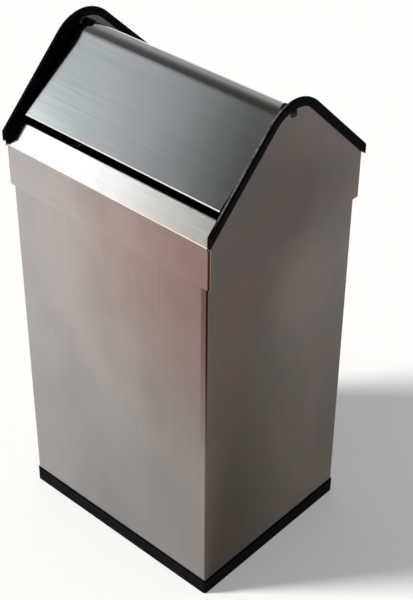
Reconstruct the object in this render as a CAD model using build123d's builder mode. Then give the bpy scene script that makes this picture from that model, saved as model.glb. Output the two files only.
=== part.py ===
"""Swing-top bin in folded stainless sheet.

A rectangular body stands in a black base channel and holds a lift-out inner
bucket. A head with two tall gables drops over the body's mouth, and a V-shaped
flap swings between the gables on two pivot screws.

Frame: millimetres, +Z up, origin on the floor under the middle of the body.
X runs along the flap's ridge, from the left gable to the right one, and -Y is
the front.
"""
from build123d import *
import os
from math import asin, atan2, cos, degrees, hypot, radians, sin, tan

os.makedirs("parts", exist_ok=True)

# ------------------------------------------------------------------ body
sheet = 0.8                 # stainless sheet, all folded parts
body_width = 199.4          # over the outside, along X
body_depth = 164.6          # over the outside, along Y
body_height = 326.0         # mouth of the body above the floor
corner_radius = 1.8         # outside radius of every folded corner
hem_height = 8.0            # safe edge: the sheet folded back on itself
lap_width = 14.0            # overlap of the body's seam, at the middle of the back
seam_gap = 0.4              # width and depth of the seam's open line

# ------------------------------------------------------- base and bottom
channel_height = 13.5       # black channel that the body stands in
channel_wall = 1.0
channel_floor = 1.5
channel_edge = 0.4          # rounding of its outer edges
pan_height = 10.0           # underside of the bottom pan above the floor
pan_flange = 12.0
pan_clearance = 0.1         # pan's flanges to the body
pan_rise = 1.5              # pan above the channel's inner leg

# ------------------------------------------------------------------ head
head_side_clearance = 2.5   # body to the inside of each gable
head_depth_clearance = 0.4  # body to the inside of each panel
skirt_overlap = 18.0        # skirt's lower edge below the body's mouth
eave_rise = 17.0            # bend between skirt and sloping strip, above the mouth
roof_angle = 44.5           # slope of the strips and of the gables' edges
strip_width = 22.5          # sloping strip, along the slope, to the sharp line of its top bend
strip_return = 9.0          # edge folded down behind the strip
bend_radius = 1.3           # outside radius of the strip's two bends
side_return = 12.0          # flange of each panel behind the gables
panel_clearance = 0.1       # panel to gable
gable_rise = 11.5           # gable's sloping edge, straight up from the strip
gable_apex_radius = 34.5
gable_setback = 1.0         # gable's upright edges behind the panels' faces
skirt_edge = 0.35           # rounding of the skirt's lower edge
rail_leg = 12.0             # seat rail, upright leg
rail_ledge = 8.6            # seat rail, level leg that sits on the body's mouth
rail_end_gap = 5.0          # seat rail's ends short of the side returns

# ----------------------------------------------------------- edge trims
trim_crown = 0.9            # rubber over the sheet's edge
trim_outer_wall = 2.4       # the fat bead outside the gable
trim_inner_wall = 0.6       # the thin lip inside it
trim_outer_leg = 6.3        # from the top of the crown, outside the gable
trim_strip_gap = 0.2        # inner leg's edge above the strip
trim_rear_leg = 6.4         # inner leg behind the apex, from the top of the crown
trim_overhang = 1.3         # trim ends past the panels' faces
trim_rounding = 1.0
notch_clearance = 0.3       # trim around the pivot screw's head and nut

# ---------------------------------------------------------------- pivot
pivot_drop = 9.4            # pivot below the gable's apex
pin_radius = 2.0
pin_running_clearance = 0.06
pin_short = 0.5             # pin's end short of the cheek's boss
screw_head_radius = 3.5
screw_head_height = 2.2
screw_slot_width = 0.9
screw_slot_depth = 0.8
screw_slot_turn = 35.0      # where the slot happens to stand, in degrees
washer_margin = 2.2         # washer past the pin's surface
washer_thickness = 0.5
nut_margin = 1.5            # nut's flats past the pin's surface
nut_thickness = 2.2
thread_clearance = 0.03

# ----------------------------------------------------------------- flap
lip_overlap = 0.45          # lips outside the strips' folded-down edges
lip_gap = 4.6               # lips above the strips' sharp top line
ridge_radius = 16.0         # outside radius of the ridge
ridge_rise = 1.4            # ridge's outer face above the pivot
flap_hem = 6.5              # safe edge under each lip
lip_rounding = 0.7          # of the folded lip, which is two sheets thick
cheek_gap = 0.9             # cheek to washer
cheek_wall = 1.6
cheek_peak_radius = 10.0    # tighter than the ridge, so the cheek shows over it
cheek_short = 7.8           # cheeks end short of the lips
cheek_flange = 1.2          # flange under the sheet
cheek_flange_width = 5.0
boss_wall = 2.1             # boss around its bore
boss_length = 4.8
boss_clearance = 0.3        # sheet's notch around the boss

# --------------------------------------------------------------- bucket
bucket_wall = 0.7
bucket_clearance = 1.5      # rolled rim to the body's safe edge
bucket_draft = 6.0          # base smaller than the top, on each side
bucket_drop = 8.0           # centre line of the rolled rim below the body's mouth
bucket_base_corner = 16.0
rim_radius = 1.8            # rolled rim
rim_roundness = 0.95        # edges of the rim, as a share of its radius
rim_step = 0.2              # rim's inner face outside the wall's inner face
ear_thickness = 1.5
ear_width = 16.0
ear_drop = 17.0             # ear below the bail's pivot
ear_edge = 3.5              # ear around the bail's hole
ear_clearance = 0.1         # ear's lower edge to the bucket's wall
rivet_radius = 1.6          # rivet holes
hole_seam = 37.0            # degrees the holes' seam is turned from level
rivet_clearance = 0.05
rivet_head_margin = 1.4     # rivet head past its hole
rivet_head_height = 0.9
rivet_pitch = 9.0
rivet_drop = 11.0           # rivets below the bail's pivot
bail_radius = 1.5
bail_inset = 5.0            # bail's bar inside the bucket's wall
bail_running_clearance = 0.08
bail_seat_gap = 0.3         # bail above the rim that it rests on
bail_side_gap = 1.2         # bail's arms inside the ears
bail_foot = 3.0             # bail's ends outside the ears
bail_foot_bend = 2.5
bail_corner = 5.0

# -------------------------------------------------- lengths that follow
half_width = body_width / 2
half_depth = body_depth / 2
inner_width = body_width - 2 * sheet
inner_depth = body_depth - 2 * sheet
lap_bottom = pan_height + pan_flange + 2 * pan_clearance
channel_inner_leg = pan_height - pan_rise

skirt_bottom = body_height - skirt_overlap
eave_height = body_height + eave_rise
gable_inner = half_width + head_side_clearance
gable_outer = gable_inner + sheet
panel_face = half_depth + head_depth_clearance + sheet
panel_inner = panel_face - sheet
panel_half_width = gable_inner - panel_clearance
slope = radians(roof_angle)
strip_top_y = panel_face - strip_width * cos(slope)
strip_top_z = eave_height + strip_width * sin(slope)
gable_start = eave_height + gable_rise
gable_peak = gable_start + panel_face * tan(slope)
gable_apex = gable_peak - gable_apex_radius * (1 / cos(slope) - 1)
trim_inner_leg = trim_crown + gable_rise * cos(slope) - trim_strip_gap
trim_end_y = panel_face + trim_overhang

pivot_height = gable_apex - pivot_drop
bore_radius = pin_radius + pin_running_clearance
washer_radius = pin_radius + washer_margin
nut_flats = 2 * (pin_radius + nut_margin)
nut_corner = nut_flats / 2 / cos(radians(30))
cheek_outer = gable_inner - nut_thickness - washer_thickness - cheek_gap
boss_radius = bore_radius + boss_wall
boss_inner = cheek_outer - boss_length

# The leaves run from the lips up to the ridge, and touch its round.
flap_half_width = cheek_outer - cheek_wall
flap_lip_y = strip_top_y + lip_overlap
flap_lip_height = strip_top_z + lip_gap
ridge_centre = pivot_height + ridge_rise - ridge_radius
lip_to_centre = hypot(flap_lip_y, ridge_centre - flap_lip_height)
leaf = atan2(ridge_centre - flap_lip_height, flap_lip_y) + asin(ridge_radius / lip_to_centre)
flap_peak = flap_lip_height + flap_lip_y * tan(leaf)

bucket_bottom = pan_height + sheet
bucket_top = body_height - bucket_drop
rim_reach = 2 * rim_radius - bucket_wall + rim_step
bucket_width = inner_width - 2 * (sheet + bucket_clearance + rim_reach)
bucket_depth = inner_depth - 2 * (sheet + bucket_clearance + rim_reach)
bucket_corner = bucket_base_corner + bucket_draft
taper = bucket_draft / (bucket_top - bucket_bottom)
draft_angle = degrees(atan2(bucket_draft, bucket_top - bucket_bottom))
bail_height = bucket_top + rim_radius + bail_seat_gap + bail_radius
bail_reach = bucket_depth / 2 - bail_inset
ear_foot = bail_height - ear_drop
ear_outer = bucket_width / 2 - bucket_wall - (bucket_top - ear_foot) * taper - ear_clearance
ear_inner = ear_outer - ear_thickness
rivet_height = bail_height - rivet_drop
rivet_head_radius = rivet_radius + rivet_head_margin
rivet_seat = bucket_width / 2 - (bucket_top - rivet_height - rivet_head_radius) * taper
bail_arm = ear_inner - bail_side_gap - bail_radius


def save(piece, name):
    """Label a finished sub-part and write it as its own STEP file."""
    piece.part.label = name
    export_step(piece.part, f"parts/{name}.step")


def twin(piece, plane):
    """The same sub-part on the other side of a plane."""
    with BuildPart() as copy:
        add(mirror(piece.part, about=plane, mode=Mode.PRIVATE))
    return copy


def ring(height, outer_x, outer_y, outer_r, inner_x, inner_y, inner_r):
    """A level sketch between two rounded rectangles."""
    with BuildSketch(Plane.XY.offset(height)) as section:
        RectangleRounded(outer_x, outer_y, outer_r)
        RectangleRounded(inner_x, inner_y, inner_r, mode=Mode.SUBTRACT)
    return section.sketch


# ================================================================== body
inner_corner = corner_radius - sheet
hem_corner = inner_corner / 2

with BuildPart() as body_shell:
    section = ring(
        channel_floor,
        body_width, body_depth, corner_radius,
        inner_width, inner_depth, inner_corner,
    )
    extrude(section, amount=body_height - channel_floor)
    # Safe edge around the mouth.
    section = ring(
        body_height - hem_height,
        inner_width, inner_depth, inner_corner,
        inner_width - 2 * sheet, inner_depth - 2 * sheet, hem_corner,
    )
    extrude(section, amount=hem_height)
    # Inner layer of the lap seam, and the outer layer's open edge.
    with BuildSketch(Plane.XY.offset(lap_bottom)):
        with Locations((0, inner_depth / 2 - sheet / 2)):
            Rectangle(lap_width, sheet)
    extrude(amount=body_height - lap_bottom)
    with BuildSketch(Plane.XY.offset(channel_height)):
        with Locations((lap_width / 2 - seam_gap, half_depth - seam_gap / 2)):
            Rectangle(seam_gap, seam_gap)
    extrude(amount=body_height - channel_height, mode=Mode.SUBTRACT)
save(body_shell, "body_shell")

pan_width = inner_width - 2 * pan_clearance
pan_depth = inner_depth - 2 * pan_clearance
with BuildPart() as bottom_pan:
    with BuildSketch(Plane.XY.offset(pan_height)):
        RectangleRounded(pan_width, pan_depth, inner_corner)
    extrude(amount=sheet)
    section = ring(
        pan_height,
        pan_width, pan_depth, inner_corner,
        pan_width - 2 * sheet, pan_depth - 2 * sheet, hem_corner,
    )
    extrude(section, amount=pan_flange)
save(bottom_pan, "bottom_pan")

channel_width = body_width + 2 * channel_wall
channel_depth = body_depth + 2 * channel_wall
with BuildPart() as base_channel:
    section = ring(
        0,
        channel_width, channel_depth, corner_radius + channel_wall,
        inner_width - 2 * channel_wall, inner_depth - 2 * channel_wall, hem_corner,
    )
    extrude(section, amount=channel_floor)
    section = ring(
        0,
        channel_width, channel_depth, corner_radius + channel_wall,
        body_width, body_depth, corner_radius,
    )
    extrude(section, amount=channel_height)
    section = ring(
        0,
        inner_width, inner_depth, inner_corner,
        inner_width - 2 * channel_wall, inner_depth - 2 * channel_wall, hem_corner,
    )
    extrude(section, amount=channel_inner_leg)
    top_rims = base_channel.faces().filter_by(Axis.Z).sort_by(Axis.Z)[-1].outer_wire().edges()
    foot_rims = base_channel.faces().filter_by(Axis.Z).sort_by(Axis.Z)[0].outer_wire().edges()
    fillet(top_rims + foot_rims, radius=channel_edge)
save(base_channel, "base_channel")

# ================================================================== head
with BuildPart() as front_panel:
    # Skirt with a flange turned back behind each gable, seen from above.
    with BuildSketch(Plane.XY.offset(skirt_bottom)):
        with BuildLine():
            FilletPolyline(
                (-panel_half_width, -panel_face + side_return),
                (-panel_half_width, -panel_face),
                (panel_half_width, -panel_face),
                (panel_half_width, -panel_face + side_return),
                radius=corner_radius,
            )
            offset(amount=sheet, side=Side.LEFT)
        make_face()
    extrude(amount=eave_height - bend_radius - skirt_bottom)
    # Skirt, sloping strip and its folded-down edge, seen from the side.
    with BuildSketch(Plane.YZ):
        with BuildLine():
            FilletPolyline(
                (-panel_face, eave_height - bend_radius),
                (-panel_face, eave_height),
                (-strip_top_y, strip_top_z),
                (-strip_top_y, strip_top_z - strip_return),
                radius=bend_radius,
            )
            offset(amount=sheet, side=Side.RIGHT)
        make_face()
    extrude(amount=panel_half_width, both=True)
    skirt_line = front_panel.edges().group_by(Axis.Z)[0].sort_by(Axis.Y)[0]
    fillet(skirt_line, radius=skirt_edge)
save(front_panel, "front_panel")
rear_panel = twin(front_panel, Plane.XZ)
save(rear_panel, "rear_panel")

gable_edge_y = panel_face - gable_setback
gable_edge_z = gable_peak - gable_edge_y * tan(slope)
gable_hem_half = panel_face - side_return - panel_clearance
with BuildPart() as gable_right:
    with BuildSketch(Plane.YZ.offset(gable_inner)) as outline:
        with BuildLine():
            Polyline(
                (-gable_edge_y, skirt_bottom),
                (gable_edge_y, skirt_bottom),
                (gable_edge_y, gable_edge_z),
                (0, gable_peak),
                (-gable_edge_y, gable_edge_z),
                close=True,
            )
        make_face()
        fillet(outline.vertices().sort_by(Axis.Y)[-1], radius=gable_apex_radius)
        with Locations((0, pivot_height)):
            Circle(bore_radius, mode=Mode.SUBTRACT)
    extrude(amount=sheet)
    # Sheet folded back on itself along the skirt, between the panels' flanges.
    with BuildSketch(Plane.YZ.offset(gable_inner - sheet)):
        with Locations((0, skirt_bottom + hem_height / 2)):
            Rectangle(2 * gable_hem_half, hem_height)
    extrude(amount=sheet)
    skirt_line = gable_right.edges().group_by(Axis.Z)[0].sort_by(Axis.X)[-1]
    fillet(skirt_line, radius=skirt_edge)
save(gable_right, "gable_right")
gable_left = twin(gable_right, Plane.YZ)
save(gable_left, "gable_left")


def roof_band(height, across, notch_radius, rear_end):
    """The trim's shape seen from the side: a band of this height, down from its crown.

    It runs from the trim's front end to this place along Y.
    """
    crown_peak = gable_peak + trim_crown / cos(slope)
    far = trim_end_y + gable_start
    with BuildSketch(Plane.YZ.offset(across)) as section:
        with BuildLine():
            FilletPolyline(
                (-far, crown_peak - far * tan(slope)),
                (0, crown_peak),
                (far, crown_peak - far * tan(slope)),
                radius=gable_apex_radius + trim_crown,
            )
            offset(amount=height, side=Side.RIGHT)
        make_face()
        with Locations(((rear_end - trim_end_y) / 2, gable_peak)):
            Rectangle(rear_end + trim_end_y, 2 * gable_peak, mode=Mode.INTERSECT)
        if notch_radius > 0:
            with Locations((0, pivot_height)):
                Circle(notch_radius, mode=Mode.SUBTRACT)
    return section.sketch


with BuildPart() as edge_trim_right:
    outer_leg = roof_band(trim_outer_leg, gable_outer, screw_head_radius + notch_clearance, trim_end_y)
    extrude(outer_leg, amount=trim_outer_wall)
    # The inner leg is deep in front, where it closes the gap over the strip.
    for leg, rear_end in ((trim_inner_leg, 0), (trim_rear_leg, trim_end_y)):
        inner_leg = roof_band(leg, gable_inner, nut_corner + notch_clearance, rear_end)
        extrude(inner_leg, amount=-trim_inner_wall)
    extrude(roof_band(trim_crown, gable_inner, 0, trim_end_y), amount=sheet)
    crown_arcs = edge_trim_right.edges().filter_by(GeomType.CIRCLE).group_by(SortBy.RADIUS)[-1]
    crown_edges = crown_arcs.group_by(Axis.X)
    fillet(crown_edges[0] + crown_edges[-1], radius=trim_rounding)
save(edge_trim_right, "edge_trim_right")
edge_trim_left = twin(edge_trim_right, Plane.YZ)
save(edge_trim_left, "edge_trim_left")

rail_half_length = panel_half_width - sheet - rail_end_gap
with BuildPart() as seat_rail_front:
    with BuildSketch(Plane.YZ):
        with BuildLine():
            FilletPolyline(
                (-panel_inner, body_height + rail_leg),
                (-panel_inner, body_height),
                (-panel_inner + rail_ledge, body_height),
                radius=bend_radius,
            )
            offset(amount=sheet, side=Side.LEFT)
        make_face()
    extrude(amount=rail_half_length, both=True)
save(seat_rail_front, "seat_rail_front")
seat_rail_rear = twin(seat_rail_front, Plane.XZ)
save(seat_rail_rear, "seat_rail_rear")

# ================================================================= pivot
pin_end = boss_inner + pin_short
pivot_axis = Plane(origin=(0, 0, pivot_height), x_dir=(0, 1, 0), z_dir=(1, 0, 0))
dome_radius = (screw_head_radius ** 2 + screw_head_height ** 2) / (2 * screw_head_height)

with BuildPart() as pivot_screw_right:
    with BuildSketch(pivot_axis.offset(pin_end)):
        Circle(pin_radius)
    extrude(amount=gable_outer - pin_end)
    # Domed head: half of its outline, turned about the pivot.
    with BuildSketch(Plane.XZ):
        with BuildLine():
            head_top = gable_outer + screw_head_height
            Line((gable_outer, pivot_height), (gable_outer, pivot_height + screw_head_radius))
            RadiusArc(
                (gable_outer, pivot_height + screw_head_radius),
                (head_top, pivot_height),
                dome_radius,
            )
            Line((head_top, pivot_height), (gable_outer, pivot_height))
        make_face()
    revolve(axis=Axis((0, 0, pivot_height), (1, 0, 0)))
    # Driver slot.
    with BuildSketch(pivot_axis.offset(gable_outer + screw_head_height - screw_slot_depth)):
        Rectangle(screw_slot_width, 2 * screw_head_radius, rotation=screw_slot_turn)
    extrude(amount=screw_slot_depth, mode=Mode.SUBTRACT)
save(pivot_screw_right, "pivot_screw_right")
pivot_screw_left = twin(pivot_screw_right, Plane.YZ)
save(pivot_screw_left, "pivot_screw_left")

with BuildPart() as pivot_washer_right:
    with BuildSketch(pivot_axis.offset(gable_inner - nut_thickness)):
        Circle(washer_radius)
        Circle(bore_radius, mode=Mode.SUBTRACT)
    extrude(amount=-washer_thickness)
save(pivot_washer_right, "pivot_washer_right")
pivot_washer_left = twin(pivot_washer_right, Plane.YZ)
save(pivot_washer_left, "pivot_washer_left")

with BuildPart() as pivot_nut_right:
    with BuildSketch(pivot_axis.offset(gable_inner)):
        RegularPolygon(nut_flats / 2, 6, major_radius=False)
        Circle(pin_radius + thread_clearance, mode=Mode.SUBTRACT)
    extrude(amount=-nut_thickness)
save(pivot_nut_right, "pivot_nut_right")
pivot_nut_left = twin(pivot_nut_right, Plane.YZ)
save(pivot_nut_left, "pivot_nut_left")


# ================================================================== flap
def leaf_band(across, reach, raised, thickness):
    """A band that follows the folded sheet, seen from the side.

    Its outer line lies this far outside the sheet's outer face, and the band
    has this thickness inwards from there.
    """
    peak = flap_peak + raised / cos(leaf)
    with BuildSketch(Plane.YZ.offset(across)) as section:
        with BuildLine():
            FilletPolyline(
                (-reach, peak - reach * tan(leaf)),
                (0, peak),
                (reach, peak - reach * tan(leaf)),
                radius=ridge_radius + raised,
            )
            offset(amount=thickness, side=Side.RIGHT)
        make_face()
    return section.sketch


with BuildPart() as flap_sheet:
    extrude(leaf_band(0, flap_lip_y, 0, sheet), amount=flap_half_width, both=True)
    # Safe edge under each lip.
    with BuildSketch(Plane.YZ):
        second_layer = 1.5 * sheet
        hem_y = flap_lip_y - flap_hem / 2 * cos(leaf) - second_layer * sin(leaf)
        hem_z = flap_lip_height + flap_hem / 2 * sin(leaf) - second_layer * cos(leaf)
        with Locations((-hem_y, hem_z)):
            Rectangle(flap_hem, sheet, rotation=degrees(leaf))
        with Locations((hem_y, hem_z)):
            Rectangle(flap_hem, sheet, rotation=-degrees(leaf))
    extrude(amount=flap_half_width, both=True)
    lips = flap_sheet.edges().filter_by(Axis.X).group_by(Axis.Z)
    fillet(lips[0] + lips[1], radius=lip_rounding)
    # Notch for each pivot boss.
    with BuildSketch(Plane.XY.offset(pivot_height - ridge_radius / 2)):
        for side in (-1, 1):
            with Locations((side * (boss_inner + boss_length / 2 - boss_clearance), 0)):
                Rectangle(boss_length, 2 * (boss_radius + boss_clearance))
    extrude(amount=ridge_radius, mode=Mode.SUBTRACT)
save(flap_sheet, "flap_sheet")

cheek_reach = flap_lip_y - cheek_short
with BuildPart() as flap_cheek_right:
    # End plate, with the ear that carries the pivot.
    with BuildSketch(Plane.YZ.offset(flap_half_width)) as end_plate:
        with BuildLine():
            cheek_foot = flap_peak - cheek_reach * tan(leaf)
            Polyline((-cheek_reach, cheek_foot), (0, flap_peak), (cheek_reach, cheek_foot), close=True)
        make_face()
        fillet(end_plate.vertices().sort_by(Axis.Y)[-1], radius=cheek_peak_radius)
        with Locations((0, pivot_height)):
            Circle(boss_radius)
    extrude(amount=cheek_wall)
    # Flange under the sheet's end.
    under = leaf_band(flap_half_width, cheek_reach - flap_hem, -sheet, cheek_flange)
    extrude(under, amount=-cheek_flange_width)
    # Boss that turns on the pivot screw.
    with BuildSketch(Plane.YZ.offset(boss_inner)):
        with Locations((0, pivot_height)):
            Circle(boss_radius)
    extrude(amount=boss_length)
    with BuildSketch(Plane.YZ.offset(flap_half_width - cheek_flange_width)):
        with Locations((0, pivot_height)):
            Circle(bore_radius)
    extrude(amount=cheek_flange_width + cheek_wall, mode=Mode.SUBTRACT)
save(flap_cheek_right, "flap_cheek_right")
flap_cheek_left = twin(flap_cheek_right, Plane.YZ)
save(flap_cheek_left, "flap_cheek_left")

# ================================================================ bucket
cavity_trim = bucket_wall * (1 - taper)
rim_inset = bucket_wall - rim_step
base_width = bucket_width - 2 * bucket_draft
base_depth = bucket_depth - 2 * bucket_draft
with BuildPart() as rolled_rim:
    section = ring(
        bucket_top - rim_radius,
        bucket_width + 2 * rim_reach, bucket_depth + 2 * rim_reach, bucket_corner + rim_reach,
        bucket_width - 2 * rim_inset, bucket_depth - 2 * rim_inset, bucket_corner - rim_inset,
    )
    extrude(section, amount=2 * rim_radius)
    rim_edges = rolled_rim.faces().filter_by(Axis.Z).edges()
    fillet(rim_edges, radius=rim_roundness * rim_radius)

with BuildPart() as inner_bucket:
    # Sloping walls.
    with BuildSketch(Plane.XY.offset(bucket_bottom)):
        RectangleRounded(base_width, base_depth, bucket_base_corner)
    extrude(amount=bucket_top - bucket_bottom, taper=-draft_angle)
    with BuildSketch(Plane.XY.offset(bucket_bottom + bucket_wall)):
        RectangleRounded(
            base_width - 2 * cavity_trim,
            base_depth - 2 * cavity_trim,
            bucket_base_corner - cavity_trim,
        )
    extrude(amount=bucket_top - bucket_bottom - bucket_wall, taper=-draft_angle, mode=Mode.SUBTRACT)
    # Rivet holes of both ears.
    for hole_start in (-half_width, ear_inner):
        with BuildSketch(Plane.YZ.offset(hole_start)):
            with Locations((0, rivet_height)):
                with GridLocations(rivet_pitch, 0, 2, 1):
                    with Locations(Rotation(0, 0, hole_seam)):
                        Circle(rivet_radius)
        extrude(amount=half_width - ear_inner, mode=Mode.SUBTRACT)
    add(rolled_rim.part)
save(inner_bucket, "inner_bucket")

with BuildPart() as bucket_ear_right:
    with BuildSketch(Plane.YZ.offset(ear_inner)) as ear_face:
        with Locations((0, bail_height - ear_drop / 2)):
            Rectangle(ear_width, ear_drop)
        with Locations((0, bail_height)):
            Circle(bail_radius + ear_edge)
        fillet(ear_face.vertices().group_by(Axis.Y)[0], radius=ear_edge)
        with Locations((0, rivet_height)):
            with GridLocations(rivet_pitch, 0, 2, 1):
                Circle(rivet_radius, mode=Mode.SUBTRACT)
        with Locations((0, bail_height)):
            Circle(bail_radius + bail_running_clearance, mode=Mode.SUBTRACT)
    extrude(amount=ear_thickness)
save(bucket_ear_right, "bucket_ear_right")
bucket_ear_left = twin(bucket_ear_right, Plane.YZ)
save(bucket_ear_left, "bucket_ear_left")

with BuildPart() as ear_rivets:
    for side in (-1, 1):
        rivet_axis = Plane(origin=(0, 0, rivet_height), x_dir=(0, 1, 0), z_dir=(side, 0, 0))
        with BuildSketch(rivet_axis.offset(ear_inner)):
            with GridLocations(rivet_pitch, 0, 2, 1):
                Circle(rivet_radius - rivet_clearance)
        extrude(amount=rivet_seat - ear_inner)
        with BuildSketch(rivet_axis.offset(ear_inner)):
            with GridLocations(rivet_pitch, 0, 2, 1):
                Circle(rivet_head_radius)
        extrude(amount=-rivet_head_height)
        with BuildSketch(rivet_axis.offset(rivet_seat)):
            with GridLocations(rivet_pitch, 0, 2, 1):
                Circle(rivet_head_radius)
        extrude(amount=rivet_head_height)
save(ear_rivets, "ear_rivets")

bail_end = ear_outer + bail_foot
with BuildPart() as bucket_bail:
    with BuildLine(Plane.XY.offset(bail_height)) as bail_path:
        FilletPolyline(
            (-bail_end, 0),
            (-bail_arm, 0),
            (-bail_arm, -bail_reach),
            (bail_arm, -bail_reach),
            (bail_arm, 0),
            (bail_end, 0),
            radius=[bail_foot_bend, bail_corner, bail_corner, bail_foot_bend],
        )
    with BuildSketch(Plane(origin=(-bail_end, 0, bail_height), x_dir=(0, 1, 0), z_dir=(1, 0, 0))):
        Circle(bail_radius)
    sweep(path=bail_path.wires()[0])
save(bucket_bail, "bucket_bail")
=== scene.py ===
# %% [markdown]
# # A swing-top bin in folded steel
#
# The bin is an ordinary piece of sheet-metal work: a folded body in a black
# channel, a gabled head that drops over it, and a folded flap that swings
# between the gables. The solids arrive from CAD with their true sizes, so this
# lesson is about what the solids don't carry: the brushed grain of the steel,
# the ribbed rubber on the gables' edges, and a studio that shows both.

from math import asin, ceil, cos, degrees, radians, sin, sqrt

import bmesh
import bpy
from mathutils import Matrix, Vector


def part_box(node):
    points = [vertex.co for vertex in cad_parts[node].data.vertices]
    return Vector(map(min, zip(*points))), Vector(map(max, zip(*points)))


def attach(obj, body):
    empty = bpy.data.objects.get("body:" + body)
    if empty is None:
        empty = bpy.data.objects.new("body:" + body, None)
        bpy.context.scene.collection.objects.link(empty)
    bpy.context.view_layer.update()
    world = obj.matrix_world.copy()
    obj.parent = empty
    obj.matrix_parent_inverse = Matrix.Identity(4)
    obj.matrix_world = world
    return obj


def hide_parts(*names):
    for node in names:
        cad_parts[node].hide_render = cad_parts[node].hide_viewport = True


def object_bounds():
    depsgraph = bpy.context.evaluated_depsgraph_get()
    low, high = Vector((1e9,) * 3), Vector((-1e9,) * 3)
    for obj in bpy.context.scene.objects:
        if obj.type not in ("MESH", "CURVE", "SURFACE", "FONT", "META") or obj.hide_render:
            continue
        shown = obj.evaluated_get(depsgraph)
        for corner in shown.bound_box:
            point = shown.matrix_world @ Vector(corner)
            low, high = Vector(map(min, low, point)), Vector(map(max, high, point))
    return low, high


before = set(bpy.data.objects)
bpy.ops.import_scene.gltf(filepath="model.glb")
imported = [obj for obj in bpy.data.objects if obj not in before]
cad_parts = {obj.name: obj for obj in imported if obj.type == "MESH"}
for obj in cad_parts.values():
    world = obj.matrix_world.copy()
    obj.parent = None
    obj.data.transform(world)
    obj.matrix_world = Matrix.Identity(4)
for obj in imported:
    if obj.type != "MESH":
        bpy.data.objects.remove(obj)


def plain(box):
    return [[float(number) for number in corner] for corner in box]


cad_box = plain(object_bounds())
box_in_mm = [[round(1000 * number, 1) for number in corner] for corner in cad_box]
print("solids:", len(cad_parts), "box in mm:", box_in_mm)

# %% [markdown]
# ## Writing materials as sums
#
# A shader is a graph of nodes, and a graph is slow to read. The small class
# below wraps one output socket, so that `0.3 + 0.1 * grain` builds the Math
# nodes by itself. Everything that isn't plain arithmetic comes from one method,
# `node`, which sets a node's own options first and then its sockets.

# %% A socket that does arithmetic
class Wire:
    """An output socket that numbers and other wires can be added to or multiplied with."""

    def __init__(self, finish, socket):
        self.finish = finish
        self.socket = socket

    def math(self, operation, *values):
        return self.finish.node("ShaderNodeMath", {"operation": operation}, *values)

    def __add__(self, other):
        return self.math("ADD", self, other)

    def __radd__(self, other):
        return self.math("ADD", other, self)

    def __sub__(self, other):
        return self.math("SUBTRACT", self, other)

    def __rsub__(self, other):
        return self.math("SUBTRACT", other, self)

    def __mul__(self, other):
        return self.math("MULTIPLY", self, other)

    def __rmul__(self, other):
        return self.math("MULTIPLY", other, self)

    def clamp(self):
        return self.finish.node("ShaderNodeClamp", {}, self)

    def size(self):
        """The value without its sign."""
        return self.math("ABSOLUTE", self)

    def siblings(self):
        """All the outputs of the node that this one belongs to, by name."""
        outputs = self.socket.node.outputs
        return {output.name: Wire(self.finish, output) for output in outputs}


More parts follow.
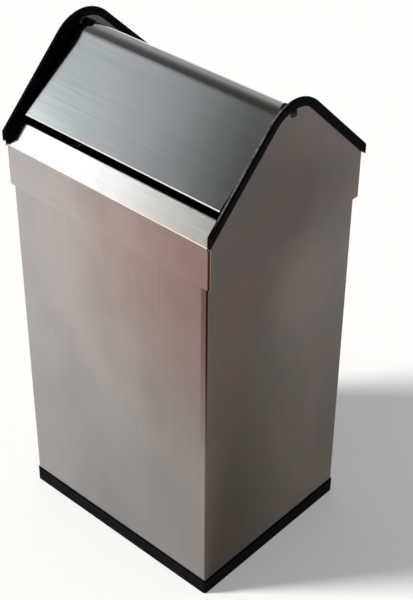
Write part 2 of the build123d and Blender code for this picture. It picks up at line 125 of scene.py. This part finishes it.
# %% A material that grows node by node
class Finish:
    """One material, or the world, with a method that adds any node to its graph."""

    def __init__(self, name, tree=None):
        if tree is None:
            self.material = bpy.data.materials.new(name)
            self.material.use_nodes = True
            tree = self.material.node_tree
        tree.nodes.clear()
        self.tree = tree

    def node(self, kind, settings, *values, out=0, at=(), **named):
        """Adds a node: its options first, then its sockets by order, by number or by name."""
        made = self.tree.nodes.new(kind)
        for option, value in settings.items():
            setattr(made, option, value)
        for number, value in (*enumerate(values), *at):
            self.feed(made.inputs[number], value)
        for socket_name, value in named.items():
            self.feed(made.inputs[socket_name.replace("_", " ")], value)
        return Wire(self, made.outputs[out]) if made.outputs else None

    def feed(self, socket, value):
        """Links a wire to a socket, or sets the socket's own value."""
        if isinstance(value, Wire):
            self.tree.links.new(value.socket, socket)
        elif socket.type == "RGBA":
            socket.default_value = (*value, 1.0)
        else:
            socket.default_value = value

    def place(self):
        """Where a point of the surface is, in metres: east, north and up."""
        return self.parts(self.node("ShaderNodeTexCoord", {}, out="Object"))

    def facing(self):
        """Which way the surface faces, each from -1 to 1: east, north and up."""
        return self.parts(self.node("ShaderNodeTexCoord", {}, out="Normal"))

    def stretched_noise(self, per_metre, detail=2.0, roughness=0.5, seed=(0.0, 0.0, 0.0)):
        """Noise with its own fineness along X, Y and Z."""
        place = self.node("ShaderNodeTexCoord", {}, out="Object")
        mapped = self.node("ShaderNodeMapping", {}, place, Location=seed, Scale=per_metre)
        return self.node(
            "ShaderNodeTexNoise", {}, mapped, Scale=1.0, Detail=detail, Roughness=roughness
        )

    def even_noise(self, per_metre, **options):
        """Noise that is as fine one way as the other."""
        return self.stretched_noise((per_metre, per_metre, per_metre), **options)

    def soft_step(self, value, low, high, before, after):
        """One number below low, another above high, and a smooth change between them."""
        smooth = {"interpolation_type": "SMOOTHSTEP"}
        return self.node("ShaderNodeMapRange", smooth, value, low, high, before, after)

    def rise(self, value, low, high):
        """A soft step from 0 to 1."""
        return self.soft_step(value, low, high, 0.0, 1.0)

    def fall(self, value, low, high):
        """A soft step from 1 to 0."""
        return self.soft_step(value, low, high, 1.0, 0.0)

    def mix(self, factor, first, second):
        """From the first colour to the second, by a factor between 0 and 1."""
        # A Mix node has sockets for every kind of value. These are the colour's.
        colours = ((6, first), (7, second))
        return self.node("ShaderNodeMix", {"data_type": "RGBA"}, factor, at=colours, out=2)

    def multiply(self, factor, colour, tint):
        """The colour, tinted where the factor is 1."""
        tinted = self.node("ShaderNodeVectorMath", {"operation": "MULTIPLY"}, colour, tint)
        return self.mix(factor, colour, tinted)

    def parts(self, vector):
        """The X, Y and Z of a vector."""
        return list(self.node("ShaderNodeSeparateXYZ", {}, vector).siblings().values())

    def bump(self, height, distance, **below):
        """The normal over a height, which may lie on top of another normal."""
        return self.node(
            "ShaderNodeBump", {}, Height=height, Distance=distance, Strength=1.0, **below
        )

    def surface(self, **sockets):
        """Ends the graph with a Principled shader."""
        shader = self.node("ShaderNodeBsdfPrincipled", {}, **sockets)
        self.node("ShaderNodeOutputMaterial", {}, shader)
        return self.material


# %% [markdown]
# ## Brushed stainless sheet
#
# The sheet is polished with an abrasive belt, which leaves fine scratches that
# all run one way. Along a scratch the metal is almost a mirror, and across it
# the light is fanned out. So the roughness itself is low here, and a noise
# stretched into hair-thin grooves does the fanning through the bump. The shader's
# own anisotropy could do that too, but it would need a direction for each bend,
# and the grooves show the scratches as well. A broader noise along the same grain
# gives the faint streaks, and thin sheet is never quite flat, so a very slow wave
# bends the reflections a little.
#
# The bends that stand out catch the light as a thin pale line, and that line is a painted
# highlight: a pale, less metallic colour on the strip's lower bend and along the flap's lip. The
# line is found by the way that the bend faces, and at the lip by its height, since the highlight
# lies on a narrow band of the leaf there.

# %% Steel with a grain
SCRATCHES_PER_METRE = (22.0, 2600.0)    # along the grain and across it
STREAKS_PER_METRE = (7.0, 420.0)
HAZE_PER_METRE = (16.0, 16.0, 12.0)     # along X, Y and Z
WAVES_PER_METRE = (7.0, 7.0, 6.0)
BEND_STARTS, BEND_ENDS = 0.1, 0.06      # how softly a painted highlight line starts and ends
LIP_ENDS = 0.0003
ALONG_X_NORTH = (0.45, 0.6)             # only bends along X get the painted highlight


def along(grain, fineness):
    """Noise fineness along X, Y and Z for a grain that runs along X or up the wall."""
    long, fine = fineness
    return {"x": (long, fine, fine), "z": (fine, fine, long)}[grain]


def brushed_steel(
    name, colour, grain, rough, fan=0.00004, waviness=0.00025, painted_light_and_tone=True, edges=None, lip=0.0
):
    """Steel sheet whose scratches run along X ("x") or up the wall ("z").

    The edges are the bends that get a painted highlight: how far they face up, from and to, and
    its colour. The highlight is painted below the lip's height too.
    """
    finish = Finish(name)
    fine, broad = along(grain, SCRATCHES_PER_METRE), along(grain, STREAKS_PER_METRE)
    scratches = finish.stretched_noise(fine, detail=3.0, roughness=0.6)
    streaks = finish.stretched_noise(broad, seed=(3.1, 1.7, 0.4))
    haze = finish.stretched_noise(HAZE_PER_METRE, detail=3.0, roughness=0.55, seed=(0.3, 4.2, 1.1))
    cloud = finish.rise(haze, 0.35, 0.68)
    toned = finish.mix(cloud, colour, tuple(0.94 * part for part in colour))
    # Painted light and shade, with ruddy clouds on the right-hand wall, over the steel's own tone.
    if painted_light_and_tone:
        toned = paint_light_and_tone(finish, toned, haze)
    shade = 0.90 + 0.12 * streaks + 0.08 * scratches
    toned = finish.node("ShaderNodeVectorMath", {"operation": "SCALE"}, toned, Scale=shade)
    wave = finish.stretched_noise(WAVES_PER_METRE, detail=1.0, seed=(2.2, 0.7, 5.0))
    metallic = 1.0
    if edges:
        # A painted highlight: the bends that stand out, and a band along the lip, get a pale and
        # less metallic colour where the light would catch them.
        low, high, pale = edges
        _, facing_north, facing_up = finish.facing()
        _, _, up = finish.place()
        highlighted = finish.rise(facing_up, low, low + BEND_STARTS)
        highlighted = highlighted * finish.fall(facing_up, high - BEND_ENDS, high)
        highlighted = (highlighted + finish.fall(up, lip - LIP_ENDS, lip)).clamp()
        highlighted = highlighted * finish.rise(facing_north.size(), *ALONG_X_NORTH)
        toned = finish.mix(highlighted, toned, pale)
        metallic = 1.0 - 0.85 * highlighted
    return finish.surface(
        Base_Color=toned,
        Metallic=metallic,
        Roughness=rough - 0.03 + 0.04 * scratches + 0.03 * streaks + 0.04 * cloud,
        Normal=finish.bump(scratches, fan, Normal=finish.bump(wave, waviness)),
    )


print("a scratch is about", round(1000 / SCRATCHES_PER_METRE[1], 2), "mm wide")

# %% [markdown]
# ## Painted light and shade on the steel
#
# Most marks here are painted light and shade: they stand in for what the steel reflects. The bin
# is painted warmer and darker towards its right-hand end and near the floor, its right-hand wall
# is painted darker with a lighter rear half, and every folded corner is painted with a dark brown
# line for the dark reflection that it shows. Ruddier clouds from a noise lie over that wall too.
# The tints could be painted by hand on an unrolled sheet, but that would fit one size of bin only.
# Here each mark is a tint and a mask, and a mask is a product of soft steps: where the point lies,
# and which way its face looks.

# %% The tint of each mark
RIGHT_END_SHADE = (0.50, 0.455, 0.435)       # painted warm shade over everything, more and more towards the right
BLUSH_REFLECTION = (1.0, 0.80, 0.74)             # painted reddish reflection on the front's upper part, at the warm end
LEFT_FRONT_SHADE = (0.86, 0.87, 0.88)        # painted shade on the front's left half
FRONT_SHADE = (0.965, 0.925, 0.915)    # painted warm shade on the whole front
FRONT_FOOT_SHADE = (0.84, 0.86, 0.86)        # painted shade on the front's foot, around its middle
FOOT_SHADE = (0.72, 0.74, 0.745)       # painted shade on the foot all round, towards the floor
BROWN_WALL_FOOT_SHADE = (0.97, 0.90, 0.80)       # painted brown shade on the right-hand wall's foot
WALL_SHADE = (0.85, 0.85, 0.85)        # painted shade on the whole right-hand wall
LOW_WALL_SHADE = (0.54, 0.51, 0.47)        # more painted shade on that wall, more and more towards the floor
TOP_WALL_SHADE = (0.60, 0.59, 0.60)         # painted shade on its top, with the gable
EDGE_WALL_SHADE = (0.74, 0.69, 0.64)        # painted shade along its front edge
BACK_WALL_LIGHT = (1.50, 1.55, 1.60)      # painted light on its rear half
RUDDY = (1.14, 1.02, 0.97)            # clouds all over it
INNER_SHADE = (0.30, 0.34, 0.42)           # painted shade on the inner faces at the left-hand end
STRIP_END_LIGHT = (1.10, 1.11, 1.04)        # painted light on the sloping strip's right half, which keeps it bright
FOLD_SIDE_REFLECTION = (0.62, 0.46, 0.44)            # painted reddish reflection beside the front fold, under the head
FOLD_SHADE = (0.16, 0.105, 0.085)     # painted dark brown on the folds, for the dark reflection they show

# %% Where each mark starts and ends, in metres from the middle of the bin's foot
WARM_EAST, WARM_UP = (-0.085, 0.135), (0.04, 0.24)
BLUSH_UP = (0.12, 0.33)
LEFT_EAST = (-0.09, 0.03)
FRONT_FOOT_UP, FRONT_FOOT_LEFT, FRONT_FOOT_RIGHT = (0.08, 0.20), (-0.08, -0.01), (0.01, 0.09)
FOOT_UP, WALL_FOOT_UP, WALL_TOP_UP = (0.02, 0.30), (0.02, 0.36), (0.24, 0.38)
BELOW_GABLE_UP = (0.26, 0.36)
EDGE_NORTH, BACK_NORTH = (-0.07, 0.04), (-0.07, 0.05)
INNER_EAST = (-0.09, -0.05)
STRIP_EAST = (-0.03, 0.12)
FOLD_SIDE_EAST, FOLD_SIDE_UP, UNDER_HEAD_UP = (0.0925, 0.0955), (0.12, 0.30), (0.3065, 0.3085)
FOLD_UP = (0.15, 0.26)
# The same for the way that a face looks, from -1 to 1 along an axis.
UPRIGHT_UP, SLOPING_UP, SLOPING_NORTH = (0.3, 0.6), (0.5, 0.65), (-0.5, -0.3)
FRONT_NORTH, WALL_EAST, TURNED = (-0.8, -0.3), (0.5, 0.9), (0.15, 0.5)
MOTTLE_PER_METRE, MOTTLED = (26.0, 26.0, 22.0), (0.42, 0.62)
print("the warm end comes in over", round(1000 * (WARM_EAST[1] - WARM_EAST[0])), "mm")


# %% Lay the marks over a colour
def paint_light_and_tone(finish, colour, haze):
    """The same steel with painted light and shade: one tint after another, each through its mask.

    The haze lets the edges of the warm end and of the top's painted shade wander.
    """
    rise, fall = finish.rise, finish.fall
    east, north, up = finish.place()
    facing_east, facing_north, facing_up = finish.facing()
    upright = fall(facing_up, *UPRIGHT_UP)
    front = fall(facing_north, *FRONT_NORTH)
    wall = rise(facing_east, *WALL_EAST)
    warm = rise(east + 0.05 * haze, *WARM_EAST) * (0.2 + 0.8 * upright)
    warm = warm * (0.55 + 0.45 * rise(up, *WARM_UP))
    front_foot = front * fall(up, *FRONT_FOOT_UP) * rise(east, *FRONT_FOOT_LEFT)
    front_foot = front_foot * (1.0 - 0.65 * rise(east, *FRONT_FOOT_RIGHT))
    foot = fall(up, *FOOT_UP)
    below = fall(up, *BELOW_GABLE_UP)
    mottle = finish.stretched_noise(MOTTLE_PER_METRE, seed=(5.0, 2.5, 0.8))
    sloping = rise(facing_up, *SLOPING_UP) * fall(facing_north, *SLOPING_NORTH)
    beside = rise(east, *FOLD_SIDE_EAST) * front * rise(up, *FOLD_SIDE_UP)
    turned = rise(facing_east.size(), *TURNED) * rise(facing_north.size(), *TURNED)
    # Every tint here is painted light or shade, except the ruddy clouds from the mottle noise.
    marks = (
        (warm, RIGHT_END_SHADE),
        (warm * rise(up, *BLUSH_UP) * front, BLUSH_REFLECTION),
        (front * upright * fall(east, *LEFT_EAST), LEFT_FRONT_SHADE),
        (front * upright, FRONT_SHADE),
        (front_foot, FRONT_FOOT_SHADE),
        (foot, FOOT_SHADE),
        (foot * wall, BROWN_WALL_FOOT_SHADE),
        (wall, WALL_SHADE),
        (wall * fall(up, *WALL_FOOT_UP), LOW_WALL_SHADE),
        (wall * rise(up + 0.04 * haze, *WALL_TOP_UP), TOP_WALL_SHADE),
        (wall * below * fall(north, *EDGE_NORTH), EDGE_WALL_SHADE),
        (wall * below * rise(north, *BACK_NORTH), BACK_WALL_LIGHT),
        (wall * rise(mottle, *MOTTLED), RUDDY),
        (wall * fall(east, *INNER_EAST), INNER_SHADE),
        (sloping * rise(east, *STRIP_EAST), STRIP_END_LIGHT),
        (beside * fall(up, *UNDER_HEAD_UP), FOLD_SIDE_REFLECTION),
        (turned * (0.45 + 0.55 * rise(up, *FOLD_UP)), FOLD_SHADE),
    )
    for mask, tint in marks:
        colour = finish.multiply(mask, colour, tint)
    return colour


# %% The five steels
WALL_STEEL, HEAD_STEEL = (0.56, 0.54, 0.525), (0.58, 0.56, 0.545)
FLAP_STEEL, BUCKET_STEEL = (0.60, 0.61, 0.612), (0.50, 0.50, 0.49)
# The colours of the painted highlights on the strip's bend and the flap's lip, and the height of
# the lip's band.
BEND_HIGHLIGHT, LIP_HIGHLIGHT = (0.60, 0.55, 0.48), (0.60, 0.60, 0.57)
LIP_HIGHLIGHT_BAND = 0.0017
lip_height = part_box("flap_sheet")[0][2] + LIP_HIGHLIGHT_BAND
body_steel = brushed_steel("body_steel", WALL_STEEL, grain="z", rough=0.22)
head_steel = brushed_steel(
    "head_steel", HEAD_STEEL, grain="x", rough=0.16, edges=(0.08, 0.66, BEND_HIGHLIGHT)
)
gable_steel = brushed_steel("gable_steel", WALL_STEEL, grain="z", rough=0.22)
flap_steel = brushed_steel(
    "flap_steel", FLAP_STEEL, grain="x", rough=0.12, fan=0.0, waviness=0.0001, painted_light_and_tone=False,
    edges=(-0.72, 0.75, LIP_HIGHLIGHT), lip=lip_height,
)
bucket_steel = brushed_steel("bucket_steel", BUCKET_STEEL, grain="z", rough=0.38, painted_light_and_tone=False)
print("steels:", [m.name for m in bpy.data.materials if "steel" in m.name])
# The painted highlight along the lip reaches up to this height.
print("the flap is rubbed below", round(1000 * lip_height, 1), "mm")

# %% [markdown]
# ## Black rubber and black plastic
#
# The blacks are the extruded rubber on the gables' edges, the moulded channel and the flap's end
# plates. All of them are very dark and dull, so that they stay black beside bright steel. What
# shows their shape is a fine grain, a little dust in patches, and on the right-hand trim a painted
# highlight: a pale line along the inner edge of its crown, where its ribs catch the light. A wider
# highlight would make the rubber look wet, so the line is painted rather than left to a shinier
# skin.

# %% The black finishes
BLACK = (0.002, 0.002, 0.002)
TRIM_DUST, PLASTIC_DUST = (0.005, 0.005, 0.005), (0.006, 0.006, 0.006)
# The painted highlight's colour, on the inner edge of the right-hand trim's crown, where its ribs
# catch the light.
CROWN_HIGHLIGHT = (0.10, 0.10, 0.103)
CROWN_EDGE_EAST = (0.1032, 0.1040)      # the inner edge of the right-hand trim's crown
RIGHT_HALF_EAST = (0.0, 0.08)
FRONT_SLOPE_NORTH = (-0.015, 0.0)
TRIM_END_NORTH = (-0.080, -0.074)


def painted_crown_highlight(finish, grain):
    """Where the painted highlight lies: 1 on the inner edge of the right-hand trim's crown, on its
    front slope.
    """
    east, north, _ = finish.place()
    edge = finish.rise(east, *RIGHT_HALF_EAST) * finish.fall(east, *CROWN_EDGE_EAST)
    edge = edge * finish.fall(north, *FRONT_SLOPE_NORTH) * finish.rise(north, *TRIM_END_NORTH)
    ticks = finish.even_noise(480.0, detail=1.0, seed=(4.0, 0.5, 1.5))
    return (edge * (0.35 + 0.65 * finish.rise(ticks, 0.35, 0.65)) * (0.5 + grain)).clamp()


def black_finish(name, dusty, rough, per_metre, depth, shine, highlight_colour=None):
    """A dark moulded or extruded skin with fine grain, a little dust and perhaps a painted
    highlight.
    """
    finish = Finish(name)
    grain = finish.even_noise(per_metre, detail=3.0, roughness=0.6)
    patches = finish.even_noise(38.0, detail=3.0, seed=(1.0, 6.0, 2.0))
    dust = finish.rise(patches, 0.45, 0.75) * (0.4 + 0.6 * grain)
    skin = finish.mix(dust, BLACK, dusty)
    if highlight_colour:
        skin = finish.mix(painted_crown_highlight(finish, grain), skin, highlight_colour)
    return finish.surface(
        Base_Color=skin,
        Roughness=rough + 0.10 * grain + 0.08 * dust,
        Normal=finish.bump(grain, depth),
        Specular_IOR_Level=shine,
    )


trim_rubber = black_finish(
    "trim_rubber", TRIM_DUST, rough=0.42, per_metre=1500.0, depth=0.00004, shine=0.02,
    highlight_colour=CROWN_HIGHLIGHT,
)
channel_black = black_finish(
    "channel_black", PLASTIC_DUST, rough=0.45, per_metre=900.0, depth=0.00003, shine=0.02
)
cheek_black = black_finish(
    "cheek_black", PLASTIC_DUST, rough=0.45, per_metre=1200.0, depth=0.00003, shine=0.06
)
print("blacks:", [m.name for m in (trim_rubber, channel_black, cheek_black)])

# %% [markdown]
# ## Plated fittings
#
# Nuts, washers, rivets, ears and the bail are plain steel with a thin coat of zinc. New zinc is
# bright, and it blooms in cloudy patches as it ages, so two tones are mixed by a noise of a few
# millimetres. The pivot screws use the same plate painted near-black: painted shade, for the
# shadow and dark reflections around their heads.

# %% Bright plate, and plate darkened as painted shade
def plate(name, bright, bloomed):
    """Zinc plate on small steel parts, with a faint cloudy bloom."""
    finish = Finish(name)
    bloom = finish.even_noise(420.0, detail=3.0)
    fine = finish.even_noise(3000.0)
    return finish.surface(
        Base_Color=finish.mix(finish.rise(bloom, 0.4, 0.7), bright, bloomed),
        Metallic=1.0,
        Roughness=0.22 + 0.10 * bloom,
        Normal=finish.bump(fine, 0.00001),
    )


bright_zinc = plate("bright_zinc", (0.86, 0.86, 0.84), (0.70, 0.70, 0.68))
# Painted shade: the pivot screws' plate is near-black, for the shadow and dark reflections around
# their heads.
shaded_zinc = plate("shaded_zinc", (0.030, 0.028, 0.026), (0.012, 0.012, 0.012))
print("plated:", [m.name for m in (bright_zinc, shaded_zinc)])

# %% [markdown]
# ## Dressing the solids
#
# A solid arrives with one material slot. It could be cut into regions with a
# material each, but every piece of this bin is made of one thing, so the slot
# gets one finish. Whatever the list doesn't name is a plated fitting.

# %% Each solid gets its finish
finishes = {
    "body_shell": body_steel,
    "bottom_pan": body_steel,
    "base_channel": channel_black,
    "front_panel": head_steel,
    "rear_panel": head_steel,
    "gable_left": gable_steel,
    "gable_right": gable_steel,
    "seat_rail_front": head_steel,
    "seat_rail_rear": head_steel,
    "edge_trim_left": trim_rubber,
    "edge_trim_right": trim_rubber,
    "flap_sheet": flap_steel,
    "flap_cheek_left": cheek_black,
    "flap_cheek_right": cheek_black,
    "inner_bucket": bucket_steel,
    "pivot_screw_left": shaded_zinc,
    "pivot_screw_right": shaded_zinc,
}
for name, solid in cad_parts.items():
    solid.data.materials.clear()
    solid.data.materials.append(finishes.get(name, bright_zinc))
print("dressed:", len(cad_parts))

# %% [markdown]
# ## The ribbed edge trim
#
# The gables' sloping edges are finished with a push-on rubber channel. It is
# extruded plain and then pressed with fine cross ribs, so that it bends around
# the apex without buckling. The ribs are what the eye catches, so they are real
# shape here: the section is carried along the roof line with four stations to a
# rib, and the hollow between two ribs is drawn in by about a quarter of a
# millimetre. A bump would be less work, but the trim's edge would stay straight.

# %% The roof line that the trim follows
MM = 0.001
roof_angle = radians(44.5)
apex_radius = 34.5 * MM
crown = 0.9 * MM
trim_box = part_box("edge_trim_right")
gable_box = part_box("gable_right")
apex_height = gable_box[1][2]
end_y = trim_box[1][1]
arc_centre = apex_height - apex_radius
straight = end_y / cos(roof_angle)
crown_radius = apex_radius + crown
print("trim ends at", round(1000 * end_y, 2), "mm, apex at", round(1000 * apex_height, 2))


def roof_point(travel):
    """A point of the crown's top, and the way out from it, this far from the apex."""
    side = 1.0 if travel >= 0 else -1.0
    turn = min(abs(travel) / crown_radius, roof_angle)
    rest = max(abs(travel) - crown_radius * roof_angle, 0.0)
    out = Vector((0.0, side * sin(turn), cos(turn)))
    down = Vector((0.0, side * cos(turn), -sin(turn)))
    return Vector((0.0, 0.0, arc_centre)) + crown_radius * out + rest * down, out


# %% [markdown]
# The section is a U over the sheet's edge. Its legs stop short around the pivot
# screw's head and nut, so each station works out how far down a leg may reach.

# %% Carry the section along the roof line
screw_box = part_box("pivot_screw_right")
pivot_height = (screw_box[0][2] + screw_box[1][2]) / 2
sheet = 0.8 * MM
rib_pitch = 1.95 * MM
rib_depth = 0.28 * MM
rib_profile = (0.0, 0.35, 1.0, 0.35)    # how far each station is drawn in
outer_wall = 2.4 * MM
inner_wall = 0.6 * MM
outer_leg = 6.3 * MM
inner_leg = 8.9 * MM
rear_leg = 6.4 * MM
head_notch = 3.8 * MM
nut_notch = 4.35 * MM
soft = 1.0 * MM                         # rounding of the crown's two edges
sheet_gap = 0.02 * MM
lip_across, lip_down = 0.15 * MM, 0.2 * MM    # bevel of each leg's free end
corner_steps = 4
print("pivot at", round(1000 * pivot_height, 2), "mm")


def leg_reach(travel, leg, notch):
    """How far a leg reaches down from the crown's top at this station."""
    turn = abs(travel) / crown_radius
    offset = pivot_height - arc_centre
    if turn > roof_angle or notch <= offset * sin(turn):
        return leg
    clear = offset * cos(turn) + sqrt(notch ** 2 - (offset * sin(turn)) ** 2)
    return min(leg, crown_radius - clear)


def trim_section(travel, drawn_in):
    """The section's corners as (across, down from the crown): outside first, then back inside."""
    outer = gable_box[1][0]
    inner = outer - sheet
    low_out = leg_reach(travel, outer_leg, head_notch)
    low_in = leg_reach(travel, inner_leg if travel < 0 else rear_leg, nut_notch)
    far, near = outer + outer_wall - drawn_in, inner - inner_wall + drawn_in / 2
    shoulder = drawn_in + soft
    turns = [radians(90) * step / corner_steps for step in range(1, corner_steps)]
    ring = [(outer + sheet_gap, low_out), (far - lip_across, low_out), (far, low_out - lip_down)]
    ring.append((far, shoulder))
    ring += [(far - soft + soft * cos(turn), shoulder - soft * sin(turn)) for turn in turns]
    ring += [(far - soft, drawn_in), (near + soft, drawn_in)]
    ring += [(near + soft - soft * sin(turn), shoulder - soft * cos(turn)) for turn in turns]
    ring += [(near, shoulder), (near, low_in - lip_down), (near + lip_across, low_in)]
    ring += [(inner - sheet_gap, low_in), (inner - sheet_gap, crown), (outer + sheet_gap, crown)]
    return ring


# %% Join the sections into a ribbed strip
def end_cut(mesh, cut):
    """Cuts the strip off upright at its front (-1) or rear (1) end, and closes it."""
    everything = mesh.verts[:] + mesh.edges[:] + mesh.faces[:]
    sliced = bmesh.ops.bisect_plane(
        mesh, geom=everything, plane_co=(0, cut * end_y, 0), plane_no=(0, cut, 0), clear_outer=True
    )
    rim = [edge for edge in sliced["geom_cut"] if isinstance(edge, bmesh.types.BMEdge)]
    bmesh.ops.triangle_fill(mesh, edges=rim, use_beauty=True)


def linked(name, mesh):
    """An object in the scene from a bmesh, which is used up."""
    data = bpy.data.meshes.new(name)
    mesh.to_mesh(data)
    mesh.free()
    made = bpy.data.objects.new(name, data)
    bpy.context.collection.objects.link(made)
    return made


def ribbed_trim(name, side, body):
    """One trim as its own mesh; side is 1 for the right gable and -1 for the left."""
    mesh = bmesh.new()
    per_rib = len(rib_profile)
    past_the_end = 8 * MM
    ribs = ceil((straight + past_the_end) / rib_pitch)
    rings = []
    for station in range(-per_rib * ribs, per_rib * ribs + 1):
        travel = station * rib_pitch / per_rib
        point, out = roof_point(travel)
        ring = []
        for across, down in trim_section(travel, rib_depth * rib_profile[station % per_rib]):
            place = point - down * out
            ring.append(mesh.verts.new((side * across, place.y, place.z)))
        rings.append(ring)
    count = len(rings[0])
    for first, second in zip(rings, rings[1:]):
        for k in range(count):
            after = (k + 1) % count
            mesh.faces.new((first[k], first[after], second[after], second[k]))
    for cut in (-1, 1):
        end_cut(mesh, cut)
    bmesh.ops.recalc_face_normals(mesh, faces=mesh.faces[:])
    piece = linked(name, mesh)
    piece.data.materials.append(trim_rubber)
    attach(piece, body)
    return piece


for side, word in ((1, "right"), (-1, "left")):
    trim = ribbed_trim(f"ribbed_trim_{word}", side, "head")
    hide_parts(f"edge_trim_{word}")
    print(trim.name, "faces:", len(trim.data.polygons))

# %% [markdown]
# ## The studio
#
# Polished sheet has almost no colour of its own: it shows the room. The room
# here has a pale floor, grey walls, a darker ceiling and one tall window to the
# front left, which is what makes the sloping strip bright. Above the window a
# lit soffit fades to the right, and the flap mirrors it. A soft lamp from the
# same side lights the floor and lays the bin's shadow to the back right, where
# the darker side wall mirrors it. Glossy rays don't see the lamp, so the steel
# shows the window and no second light.
#
# More light would make the floor white, but it would fall on the bin as well. So
# the floor has two paints. One is for the light that it passes on to dull
# surfaces. The other is for the rays that show the floor, to the camera or off
# the steel, and it has a faint glow of its own. The bin's shadow stays on both.
# The world works in the same way: those rays see the walls and the window, and
# dull surfaces are lit by an even grey.

# %% The rays that show the room
def shown_rays(finish):
    """1 for the rays that show a surface: to the camera, off metal and through glass."""
    ray = finish.node("ShaderNodeLightPath", {}).siblings()
    return (ray["Is Camera Ray"] + ray["Is Glossy Ray"] + ray["Is Transmission Ray"]).clamp()


# %% Floor
FLOOR_HALF, FLOOR_HEIGHT = 30.0, -0.0002
FLOOR_GLOW = (0.22, 0.22, 0.22)


def square(name, half, height):
    """A level square, drawn as a mesh."""
    mesh = bmesh.new()
    corners = ((-1, -1), (1, -1), (1, 1), (-1, 1))
    mesh.faces.new([mesh.verts.new((x * half, y * half, height)) for x, y in corners])
    return linked(name, mesh)


floor = square("studio_floor", FLOOR_HALF, FLOOR_HEIGHT)
floor_finish = Finish("floor_paint")
speck = floor_finish.even_noise(60.0, detail=3.0)
shown = shown_rays(floor_finish)
lighting_paint = floor_finish.mix(speck, (0.86, 0.84, 0.82), (0.90, 0.88, 0.86))
shown_paint = floor_finish.mix(speck, (0.720, 0.718, 0.716), (0.735, 0.733, 0.731))
floor.data.materials.append(floor_finish.surface(
    Base_Color=floor_finish.mix(shown, lighting_paint, shown_paint),
    Roughness=0.85,
    Specular_IOR_Level=0.2,
    Emission_Color=floor_finish.mix(shown, (0.0, 0.0, 0.0), FLOOR_GLOW),
    Emission_Strength=1.0,
))
print("floor:", 2 * FLOOR_HALF, "m wide")

# %% Walls, ceiling and window, as the world
# Each range is of a direction from the bin, from -1 to 1 along an axis.
CEILING_UP = (0.40, 0.86)
WINDOW_EAST, WINDOW_NORTH = (-0.72, -0.525), (-0.30, -0.08)
SILL_UP, HEAD_UP = (0.28, 0.45), (0.56, 0.66)
SOFFIT_UP, SOFFIT_EAST, LIT_SOFFIT_EAST = (0.60, 0.68), (-0.54, -0.46), (-0.642, -0.55)
WALL_GREY, CEILING_GREY = (0.45, 0.45, 0.44), (0.06, 0.055, 0.045)
DARK_SOFFIT, LIT_SOFFIT = (0.062, 0.062, 0.053), (0.625, 0.67, 0.695)
WINDOW_LIGHT, ROOM_LIGHT = (4.2, 4.5, 4.7), (0.27, 0.27, 0.27)

world = bpy.data.worlds.new("studio_room")
bpy.context.scene.world = world
world.use_nodes = True
room = Finish("studio_room", world.node_tree)
east, north, up = room.parts(room.node("ShaderNodeTexCoord", {}, out="Generated"))
in_front = room.fall(north, *WINDOW_NORTH)
soffit = in_front * room.rise(up, *SOFFIT_UP) * room.fall(east, *SOFFIT_EAST)
soffit_light = room.mix(room.fall(east, *LIT_SOFFIT_EAST), DARK_SOFFIT, LIT_SOFFIT)
window = in_front * room.fall(east, *WINDOW_EAST)
window = window * room.rise(up, *SILL_UP) * room.fall(up, *HEAD_UP)
walls = room.mix(room.rise(up, *CEILING_UP), WALL_GREY, CEILING_GREY)
seen = room.mix(window, room.mix(soffit, walls, soffit_light), WINDOW_LIGHT)
light = room.mix(shown_rays(room), ROOM_LIGHT, seen)
room.node("ShaderNodeOutputWorld", {}, room.node("ShaderNodeBackground", {}, light, 1.0))
print("room nodes:", len(room.tree.nodes))

# %% The lamp
LAMP_FROM = (-0.56, -0.58, 0.42)
lamp_data = bpy.data.lights.new("soft_lamp", "SUN")
lamp_data.energy = 5.6
lamp_data.angle = radians(12)
lamp_data.color = (1.0, 0.985, 0.96)
lamp = bpy.data.objects.new("soft_lamp", lamp_data)
bpy.context.collection.objects.link(lamp)
lamp_from = Vector(LAMP_FROM).normalized()
lamp.rotation_euler = lamp_from.to_track_quat("Z", "Y").to_euler()
lamp.visible_glossy = False
print("lamp height above the horizon:", round(degrees(asin(lamp_from.z)), 1), "degrees")

# %% [markdown]
# ## The camera
#
# The camera stands above the bin, in front of its right-hand corner, and looks
# down at it. Its lens is long, so the upright edges lean in only a little.

# %% Camera
CAMERA_PLACE = (0.6219, -0.6596, 0.8809)
azimuth, elevation, roll = radians(42.16), radians(36.77), radians(0.44)
ahead = Vector((-sin(azimuth) * cos(elevation), cos(azimuth) * cos(elevation), -sin(elevation)))
level_right = ahead.cross(Vector((0, 0, 1))).normalized()
level_up = level_right.cross(ahead)
right = cos(roll) * level_right + sin(roll) * level_up
upright = cos(roll) * level_up - sin(roll) * level_right
camera_data = bpy.data.cameras.new("camera")
camera_data.sensor_width = 36.0
camera_data.sensor_fit = "AUTO"
camera_data.lens = 84.48
camera_data.clip_end = 100.0
camera = bpy.data.objects.new("camera", camera_data)
bpy.context.collection.objects.link(camera)
turn = Matrix((right, upright, -ahead)).transposed().to_4x4()
camera.matrix_world = Matrix.Translation(CAMERA_PLACE) @ turn
bpy.context.scene.camera = camera
bpy.context.scene.view_settings.view_transform = "Standard"
print("camera", round(Vector(CAMERA_PLACE).length, 2), "m from the bin's foot")
